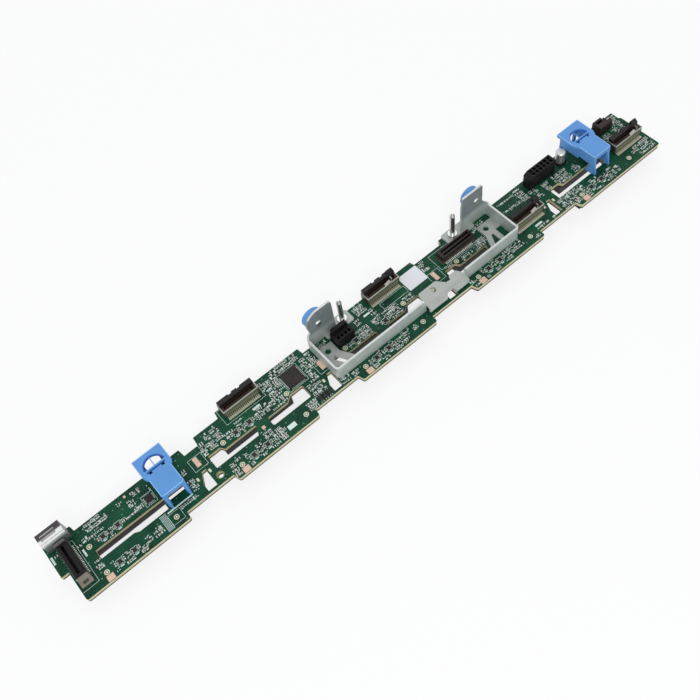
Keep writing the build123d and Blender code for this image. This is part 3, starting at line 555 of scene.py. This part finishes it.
# Column, offsets from and to, depths from and to, and the share of places filled
CLUSTERS = (
    (0, -11.8, -9.0, 27.8, 33.2, 0.7), (0, 6.6, 17.0, 31.2, 33.0, 0.9), (0, 8.0, 20.5, 28.2, 30.8, 0.9),
    (0, 0.9, 16.2, 24.6, 27.6, 0.9), (0, 26.2, 28.8, 28.6, 31.2, 0.9), (0, 34.4, 39.0, 28.4, 31.4, 0.8),
    (0, 30.8, 34.6, 23.2, 28.8, 0.8), (0, 42.8, 44.6, 23.2, 30.0, 0.8), (0, 23.2, 36.6, 20.4, 23.2, 0.7),
    (0, 9.0, 11.2, 18.4, 24.2, 0.8), (0, 15.2, 19.2, 18.4, 24.4, 0.8), (0, 3.0, 6.8, 8.4, 13.6, 0.95),
    (0, 8.8, 11.2, 2.0, 8.6, 0.9), (0, 14.6, 19.4, 1.6, 7.8, 0.8), (0, 23.2, 27.8, 1.4, 4.6, 0.9),
    (0, 27.8, 31.2, 3.2, 6.8, 0.9), (0, 32.6, 37.0, 3.0, 7.2, 0.6), (0, 49.4, 61.0, 6.8, 8.6, 0.8),
    (0, 59.4, 63.4, 9.6, 16.6, 0.8), (0, 58.4, 62.4, 20.4, 31.8, 0.75),
    (1, -6.2, -3.6, 21.4, 29.0, 0.8), (1, -3.6, 2.2, 22.0, 27.2, 0.85), (1, -1.2, 1.6, 27.4, 32.6, 0.9),
    (1, 2.8, 7.2, 24.0, 32.6, 0.85), (1, 7.8, 12.0, 20.2, 24.4, 0.9), (1, 15.2, 19.4, 18.6, 26.4, 0.85),
    (1, 24.4, 27.8, 18.6, 23.8, 0.9), (1, 28.0, 34.4, 19.6, 24.6, 0.8), (1, 34.8, 44.0, 17.6, 24.2, 0.75),
    (1, 38.4, 43.2, 24.0, 34.6, 0.95), (1, 44.0, 46.8, 24.6, 37.4, 0.9), (1, 46.8, 62.6, 33.4, 37.4, 0.9),
    (1, 60.2, 65.4, 22.6, 32.6, 0.85), (1, 59.0, 63.6, 17.0, 22.8, 0.9), (1, 55.2, 62.8, 9.6, 17.0, 0.95),
    (1, 48.6, 54.4, 4.2, 9.6, 0.9), (1, -0.2, 2.8, 1.4, 11.2, 0.8), (1, 3.4, 7.4, 8.4, 11.0, 0.9),
    (1, 8.6, 11.6, 1.4, 8.8, 0.85), (1, 14.4, 19.4, 1.4, 8.8, 0.85), (1, 22.4, 27.8, 1.4, 12.6, 0.95),
    (1, 28.4, 32.6, 1.4, 9.0, 0.8), (1, 37.2, 38.4, 30.0, 37.0, 0.8),
    (2, -14.0, -10.6, 22.6, 33.0, 0.8), (2, -9.6, -4.0, 4.8, 8.4, 0.9), (2, -3.0, 1.2, 4.8, 8.2, 0.9),
    (2, 6.0, 10.4, 19.0, 23.8, 0.85), (2, 13.8, 22.4, 18.4, 24.6, 0.85), (2, 17.4, 20.4, 26.4, 31.6, 0.9),
    (2, 21.8, 28.4, 31.4, 37.4, 0.8), (2, 27.8, 30.8, 23.8, 30.2, 0.9), (2, 25.0, 29.4, 20.6, 24.0, 0.9),
    (2, 32.0, 42.4, 16.9, 23.8, 0.85), (2, 46.0, 52.6, 19.6, 23.8, 0.7), (2, 8.0, 11.6, 1.2, 8.4, 0.9),
    (2, 14.2, 19.2, 1.2, 8.4, 0.85), (2, 22.8, 26.4, 1.2, 7.6, 0.85), (2, 27.0, 36.0, 1.4, 8.2, 0.75),
    (2, 37.6, 41.6, 4.2, 7.2, 0.9), (2, -8.6, 0.2, 30.0, 33.2, 0.9),
    (3, -14.0, -9.4, 27.6, 34.2, 0.8), (3, -4.0, 1.2, 20.4, 23.4, 0.8), (3, 6.8, 19.0, 18.2, 21.6, 0.7),
    (3, 19.0, 25.6, 18.4, 23.6, 0.85), (3, 23.4, 33.0, 28.0, 33.6, 0.6), (3, -1.4, 3.2, 1.2, 7.0, 0.8),
    (3, 8.4, 11.2, 1.2, 8.0, 0.9), (3, 14.2, 19.6, 1.2, 8.8, 0.85), (3, 23.4, 28.4, 1.4, 7.4, 0.85),
    (3, 28.0, 38.4, 3.8, 7.8, 0.8), (3, 45.6, 49.4, 1.4, 4.0, 0.6), (3, 40.4, 44.0, 24.0, 33.6, 0.8),
    (3, 45.0, 58.6, 24.6, 26.6, 0.7), (3, 45.0, 58.6, 31.4, 33.0, 0.7), (3, 59.0, 64.4, 24.0, 33.6, 0.8),
    (3, 64.8, 70.6, 19.8, 26.6, 0.7), (3, 51.0, 65.0, 2.0, 6.0, 0.35),
    (4, -8.4, -5.4, 3.8, 11.6, 0.8), (4, -5.4, 3.4, 2.6, 11.6, 0.85), (4, 3.4, 10.0, 6.4, 11.6, 0.85),
    (4, -6.0, -1.6, 20.8, 26.4, 0.8), (4, 1.6, 12.4, 18.4, 26.6, 0.85), (4, 14.8, 22.6, 18.4, 24.6, 0.8),
    (4, 6.8, 11.0, 1.4, 7.4, 0.85), (4, 14.0, 19.6, 1.4, 8.8, 0.85), (4, 22.6, 31.4, 1.4, 8.6, 0.8),
    (4, 32.0, 34.4, 2.4, 8.0, 0.7), (4, 47.4, 51.4, 5.4, 8.4, 0.6), (4, 50.4, 62.4, 1.4, 9.4, 0.85),
    (4, 43.8, 50.4, 20.6, 26.4, 0.8), (4, 51.6, 60.4, 21.4, 26.8, 0.85), (4, 55.6, 62.0, 27.0, 34.2, 0.8),
)


# Lands and printed bars and frames: column, offsets from and to, depths from and to

COPPER_LANDS = [(index, 3.7, 7.6, 0.25, 3.4) for index in range(5)]
COPPER_LANDS += [(index, -12.3, -9.8, 18.9, 24.6) for index in (1, 2, 3)]
COPPER_LANDS += [(0, 31.0, 32.2, 30.6, 31.9), (1, 24.3, 26.1, 13.0, 14.8)]
HOOK_LANDS = [(index, offset - 0.6, offset + 0.6, 12.6, 14.6) for index in range(1, 5)
              for offset in (-15.9, -8.6)]
ROUND_LANDS = [(index, 5.3, 5.1) for index in range(5)]
ROUND_LANDS += [(0, 5.2, 21.4), (1, 4.9, 21.2), (1, 45.3, 21.0), (2, 4.6, 20.8), (2, 44.8, 20.6),
                (3, 3.9, 20.8), (0, 45.5, 5.1), (1, 45.6, 4.9), (2, 44.8, 4.8), (3, 44.1, 4.8),
                (4, 43.5, 4.8)]
ROUND_LAND = (1.4, 1.4 * 0.66, 1.4 * 0.42)
ROUND_LAND_ROOM = 1.4 * 2.2
PRINTED_BARS = ((1, 34.0, 38.8, 3.4, 6.1), (1, 27.0, 31.5, 24.8, 26.2), (0, -12.3, -11.2, 24.8, 29.4),
                (0, 1.6, 2.6, 18.2, 22.4), (0, 43.0, 58.0, 9.0, 9.7), (3, 51.0, 56.0, 6.9, 8.2),
                (2, 24.0, 28.0, 28.2, 29.4))
LAND_FRAMES = [(index, -14.6, -6.8, 17.4, 25.0) for index in (1, 2, 3)]
PART_FRAMES = ((1, 12.2, 37.0, 27.6, 37.6), (2, 35.2, 52.2, 24.6, 29.0), (3, -5.6, 27.0, 22.0, 33.4))
ANGLE_FRAME = (0, -8.4, 0.5, 4.2, 30.0)
THIN_FRAME = (0, 42.1, 49.0, 2.2, 8.2)
HOLE_RING = (col(1, -6.0), 8.2, 2.15, 1.62)
BRIDGE_LAND = (col(2, 61.0), 16.6, 2.1)


def bar(batch, high, index, x0, x1, y0, y1):
    """A filled rectangle, kept free of other small parts."""
    x, y, width, depth = (col(index, x0) + col(index, x1)) / 2, (y0 + y1) / 2, x1 - x0, y1 - y0
    batch.box(x, y, width, depth, 0.0, high)
    taken.append((x, y, width, depth))


def round_land(index, offset, y):
    """A round test land: a ring and a disc."""
    x = col(index, offset)
    outer, inner, middle = ROUND_LAND
    pads.ring(x, y, outer, inner, 0.0, FILM)
    pads.disc(x, y, middle, 0.0, FILM)
    taken.append((x, y, ROUND_LAND_ROOM, ROUND_LAND_ROOM))


def printed_frame(index, x0, x1, y0, y1, width=LINE):
    silk.outline(col(index, x0), col(index, x1), y0, y1, width)


def angle_frame(index, x0, x1, y0, y1):
    """Print on three sides of the left connector, whose fourth side is the board's edge."""
    for y in (y0, y1):
        silk.box(col(index, (x0 + x1) / 2), y, x1 - x0, LINE, 0.0, PRINT)
    silk.box(col(index, x1), (y0 + y1) / 2, LINE, y1 - y0 - LINE, 0.0, PRINT)


def lands_and_print():
    """All lands and print that have a place of their own."""
    for land in COPPER_LANDS:
        bar(copper, FILM, *land)
    for land in ROUND_LANDS:
        round_land(*land)
    for land in HOOK_LANDS:
        bar(pads, FILM, *land)
    for area in LAND_FRAMES:
        printed_frame(*area)
    for mark in PRINTED_BARS:
        bar(silk, PRINT, *mark)
    angle_frame(*ANGLE_FRAME)
    for area in PART_FRAMES:
        printed_frame(*area)
    printed_frame(*THIN_FRAME, width=THIN_LINE)
    brass.ring(*HOLE_RING, 0.0, FILM)
    pads.disc(*BRIDGE_LAND, 0.0, FILM)


# Leads and frames of the larger packages

PACKAGES = [(col(index, offset), 5.1) for index in range(5) for offset in (12.8, 21.2)]
PACKAGES += [(col(index, offset), 21.3) for index in (0, 1) for offset in (13.0, 21.6)]
PACKAGES += [(col(2, 11.8), 20.4), (col(2, 30.8), 18.9)]
PACKAGE_HALF = 1.25
PACKAGE_FRAME = 1.75
PACKAGE_ROOM = (6.3, 3.8)
PACKAGE_BAR = (1.9, 0.5)
PACKAGE_BAR_OFFSET = 2.3
LEAD_OUT, LEAD_ALONG, LEAD_TOP = 0.44, 0.32, 0.24
CAP_PLACE = (2.6, 0.63)
CAP_SIZE = (0.93, 0.4)
CAP_TOP = 0.75
# Square chips: place, half of the body's side, pitch of the leads and their number on a side
LARGE_CHIP = (col(1, 53.3), 26.2, 5.0, 0.72, 12)
SMALL_CHIP = (col(0, 40.4), 22.1, 2.1, 0.6, 6)
CHIP_FRAME = 1.1
CHIP_FRAME_ROOM = 2.4
CHIP_LEAD = 0.6
CHIP_LEAD_TOP = 0.25
EDGE_CHIPS = [(col(2, offset), 6.7) for offset in (-23.6, -20.8, -18.0)]


def dress_package(x, y):
    """Leads and a printed frame round a square package, and end caps on its chip capacitors."""
    silk.outline(x - PACKAGE_FRAME, x + PACKAGE_FRAME, y - PACKAGE_FRAME, y + PACKAGE_FRAME)
    if is_open(x, y - PACKAGE_BAR_OFFSET, *PACKAGE_BAR):
        silk.box(x, y - PACKAGE_BAR_OFFSET, *PACKAGE_BAR, 0.0, PRINT)
    for side in (-1, 1):
        for step in (-0.6, 0.0, 0.6):
            solder.box(x + side * PACKAGE_HALF, y + step, LEAD_OUT, LEAD_ALONG, 0.0, LEAD_TOP)
            solder.box(x + step, y + side * PACKAGE_HALF, LEAD_ALONG, LEAD_OUT, 0.0, LEAD_TOP)
        for end in (-1, 1):
            solder.box(x + side * CAP_PLACE[0], y + end * CAP_PLACE[1], *CAP_SIZE, 0.0, CAP_TOP, EASE)
    taken.append((x, y, *PACKAGE_ROOM))


def dress_chip(x, y, half, pitch, count):
    """Rows of small leads round a square chip, inside a printed frame."""
    silk.outline(x - half - CHIP_FRAME, x + half + CHIP_FRAME, y - half - CHIP_FRAME, y + half + CHIP_FRAME)
    for step in range(count):
        shift = (step - (count - 1) / 2) * pitch
        for side in (-1, 1):
            out = side * (half + CHIP_LEAD / 2)
            solder.box(x + out, y + shift, CHIP_LEAD, pitch * 0.5, 0.0, CHIP_LEAD_TOP)
            solder.box(x + shift, y + out, pitch * 0.5, CHIP_LEAD, 0.0, CHIP_LEAD_TOP)
    taken.append((x, y, 2 * half + CHIP_FRAME_ROOM, 2 * half + CHIP_FRAME_ROOM))


def dress_edge_chip(x, y):
    """Two leads on each end of a small chip near the lower edge."""
    for step in (-0.6, 0.6):
        for end in (-1, 1):
            solder.box(x + step, y + end * 2.0, 0.4, 0.7, 0.0, 0.3)


# Cable connectors: place in x, and the y of the front face

SOCKETS = ((col(1, 24.8), 30.9), (col(2, 41.3), 31.7), (col(3, 51.0), 12.1), (BOARD_END - 13.2, 12.1))
SOCKET_LENGTH = 20.0
STRIP_OFFSET, STRIP_DEPTH, STRIP_TOP = 1.45, 1.3, 0.12
WINDOW_CONTACTS = 20
FIRST_CONTACT = -9.5
CONTACT_WIDTH, CONTACT_DEPTH = 0.5, 0.06
WINDOW_LOW, WINDOW_HIGH = 1.4, 4.0


def dress_socket(x, front):
    """The solder strip before a cable connector, and the row of contacts in its front window."""
    strips.box(x, front - STRIP_OFFSET, SOCKET_LENGTH, STRIP_DEPTH, 0.0, STRIP_TOP)
    for step in range(WINDOW_CONTACTS):
        windows.box(x + FIRST_CONTACT + step, front - CONTACT_DEPTH / 2, CONTACT_WIDTH, CONTACT_DEPTH,
                    WINDOW_LOW, WINDOW_HIGH)


# Release latches: place in x and rear edge, then the sizes that both share

LATCHES = ((col(0, 52.2), 36.4), (col(4, 26.5), 38.1))
LATCH_TOP = 13.0
LATCH_UNDER = LATCH_TOP - 1.6
LATCH_FRONT = 11.4
LATCH_STEP = 24.2
NARROW_HALF = 6.5
WIDE_HALF = 8.2
FINGER_HOLE = 28.0
FINGER_RADIUS = 5.9
RIM_WIDTH = 0.5
RIM_TOP = LATCH_TOP + 0.22
RIM_EASE = 0.1
# Under the spring slot, from the finger hole's middle: place, width and depth
SLOT_LIPS = ((0.0, -1.4, 10.4, 1.0), (-3.6, -2.0, 1.6, 2.0), (3.6, -2.0, 1.6, 2.0))
SLOT_LIP_BELOW = 0.5
HOLE_EDGE_WIDTH = 0.55
HOLE_EDGE_HEIGHT = 0.4
HOLE_STEPS = 18
RIB_WIDTH = 0.45


def latch_rim(x, rear):
    """A low raised rim in a lighter blue along the edges of a latch's plate, wide at the rear and narrow in
    front, as a painted highlight on the plate's edges.
    """
    for side in (-1, 1):
        for half, y0, y1 in ((WIDE_HALF, LATCH_STEP + 1.8, rear - 0.2),
                             (NARROW_HALF, LATCH_FRONT + 0.6, LATCH_STEP - 1.6)):
            rim.box(x + side * (half - RIM_WIDTH / 2), (y0 + y1) / 2, RIM_WIDTH, y1 - y0,
                    LATCH_TOP, RIM_TOP, RIM_EASE)
    for half, y in ((WIDE_HALF, rear - RIM_WIDTH / 2), (NARROW_HALF, LATCH_FRONT + RIM_WIDTH / 2)):
        rim.box(x, y, 2 * half - 1.2, RIM_WIDTH, LATCH_TOP, RIM_TOP, RIM_EASE)


def latch_pocket(x):
    """A darker blue lip under a latch's spring slot and round its finger hole, as painted shade in these
    recesses, and the rib across the hole.
    """
    for across, up, width, depth in SLOT_LIPS:
        pocket.box(x + across, FINGER_HOLE + up, width, depth, LATCH_UNDER - SLOT_LIP_BELOW, LATCH_UNDER)
    outer = circle(x, FINGER_HOLE, FINGER_RADIUS, 2 * HOLE_STEPS)
    inner = circle(x, FINGER_HOLE, FINGER_RADIUS - HOLE_EDGE_WIDTH, 2 * HOLE_STEPS)
    for step in range(HOLE_STEPS):
        piece = [outer[step], outer[step + 1], inner[step + 1], inner[step]]
        pocket.prism(piece, LATCH_UNDER, LATCH_UNDER + HOLE_EDGE_HEIGHT)
    rib.box(x, FINGER_HOLE + FINGER_RADIUS / 2, RIB_WIDTH, FINGER_RADIUS - 0.1,
            LATCH_UNDER + 0.2, LATCH_UNDER + 0.9)


# What has a place of its own comes first, and the clusters then fill what is left open

for x, front in SOCKETS:
    dress_socket(x, front)
for x, rear in LATCHES:
    latch_rim(x, rear)
    latch_pocket(x)
lands_and_print()
for x, y in PACKAGES:
    dress_package(x, y)
dress_chip(*LARGE_CHIP)
dress_chip(*SMALL_CHIP)
for x, y in EDGE_CHIPS:
    dress_edge_chip(x, y)
for seed, area in enumerate(CLUSTERS, 100):
    cluster(*area, seed)
dots(0, 38.8, 42.2, 1.4, 10.6, 0.62, silk, 0.36)
dots(1, 48.8, 54.2, 4.4, 9.4, 0.7, solder, 0.4)
for batch in (solder, dark, tan, silk, copper, pads, brass, strips, windows, rim, pocket, rib):
    batch.done()


# Floor, light and camera

FLOOR_HALF = 4.0
CAMERA_PLACE = (-0.13222, -0.20132, 0.39932)
CAMERA_ELEVATION = 59.471
CAMERA_HEADING = 29.392
CAMERA_ROLL = -12.217
CAMERA_LENS = 44.457


def seen(tree, *rays):
    """One for the named kinds of ray, and nought for light that falls on the object."""
    path = new_node(tree, "ShaderNodeLightPath")
    found = path.outputs[rays[0]]
    for name in rays[1:]:
        found = maths(tree, "MAXIMUM", found, path.outputs[name])
    return found


def blend_to_output(tree, share, first, second, kind):
    """Two shaders mixed by a share and given to the output."""
    mix = new_node(tree, "ShaderNodeMixShader", {"Fac": share, 1: first, 2: second})
    new_node(tree, kind, {"Surface": mix.outputs["Shader"]})


def floor():
    corners = [(-FLOOR_HALF, -FLOOR_HALF, 0.0), (FLOOR_HALF, -FLOOR_HALF, 0.0),
               (FLOOR_HALF, FLOOR_HALF, 0.0), (-FLOOR_HALF, FLOOR_HALF, 0.0)]
    mesh = bpy.data.meshes.new("floor")
    mesh.from_pydata(corners, [], [(0, 1, 2, 3)])
    piece = bpy.data.objects.new("floor", mesh)
    bpy.context.scene.collection.objects.link(piece)
    material, tree, _ = new_material("floor_white")
    tree.nodes.clear()
    share = maths(tree, "MULTIPLY", seen(tree, "Is Camera Ray", "Is Glossy Ray"), 0.78)
    matt = new_node(tree, "ShaderNodeBsdfDiffuse", {"Color": grey(0.94)}).outputs["BSDF"]
    glow = new_node(tree, "ShaderNodeEmission", {"Color": grey(1.0), "Strength": 1.0}).outputs["Emission"]
    blend_to_output(tree, share, matt, glow, "ShaderNodeOutputMaterial")
    mesh.materials.append(material)


def sky():
    """Soft light from all round, with a white background for what the camera and reflections see."""
    world = bpy.data.worlds.new("studio")
    bpy.context.scene.world = world
    world.use_nodes = True
    tree = world.node_tree
    tree.nodes.clear()
    share = seen(tree, "Is Camera Ray", "Is Glossy Ray", "Is Transmission Ray")
    soft = new_node(tree, "ShaderNodeBackground", {"Color": (0.96, 0.98, 1.0, 1.0), "Strength": 0.70})
    white = new_node(tree, "ShaderNodeBackground", {"Color": grey(1.0), "Strength": 1.0})
    blend_to_output(tree, share, soft.outputs["Background"], white.outputs["Background"],
                    "ShaderNodeOutputWorld")


def lamp(name, place, size, power):
    """A square lamp that looks at the object."""
    data = bpy.data.lights.new(name, "AREA")
    data.shape = "SQUARE"
    data.size = size
    data.energy = power
    piece = bpy.data.objects.new(name, data)
    piece.location = place
    piece.rotation_euler = (-Vector(place)).to_track_quat("-Z", "Y").to_euler()
    bpy.context.scene.collection.objects.link(piece)


def camera():
    """The photograph's view."""
    data = bpy.data.cameras.new("camera")
    data.sensor_width = 36.0
    data.lens = CAMERA_LENS
    data.clip_start = 0.01
    piece = bpy.data.objects.new("camera", data)
    elevation, heading, roll = map(math.radians, (CAMERA_ELEVATION, CAMERA_HEADING, CAMERA_ROLL))
    forward = Vector((math.sin(heading) * math.cos(elevation), math.cos(heading) * math.cos(elevation),
                      -math.sin(elevation)))
    level = Vector((math.cos(heading), -math.sin(heading), 0.0))
    right = level * math.cos(roll) + level.cross(forward) * math.sin(roll)
    up = right.cross(forward)
    turn = Matrix((right, up, -forward)).transposed()
    piece.matrix_world = Matrix.Translation(CAMERA_PLACE) @ turn.to_4x4()
    bpy.context.scene.collection.objects.link(piece)
    bpy.context.scene.camera = piece


floor()
sky()
lamp("key", (-0.40, -0.75, 0.95), 0.7, 5.0)
lamp("rim", (0.3, 0.8, 0.9), 0.8, 1.6)
camera()
bpy.context.scene.view_settings.view_transform = "Standard"
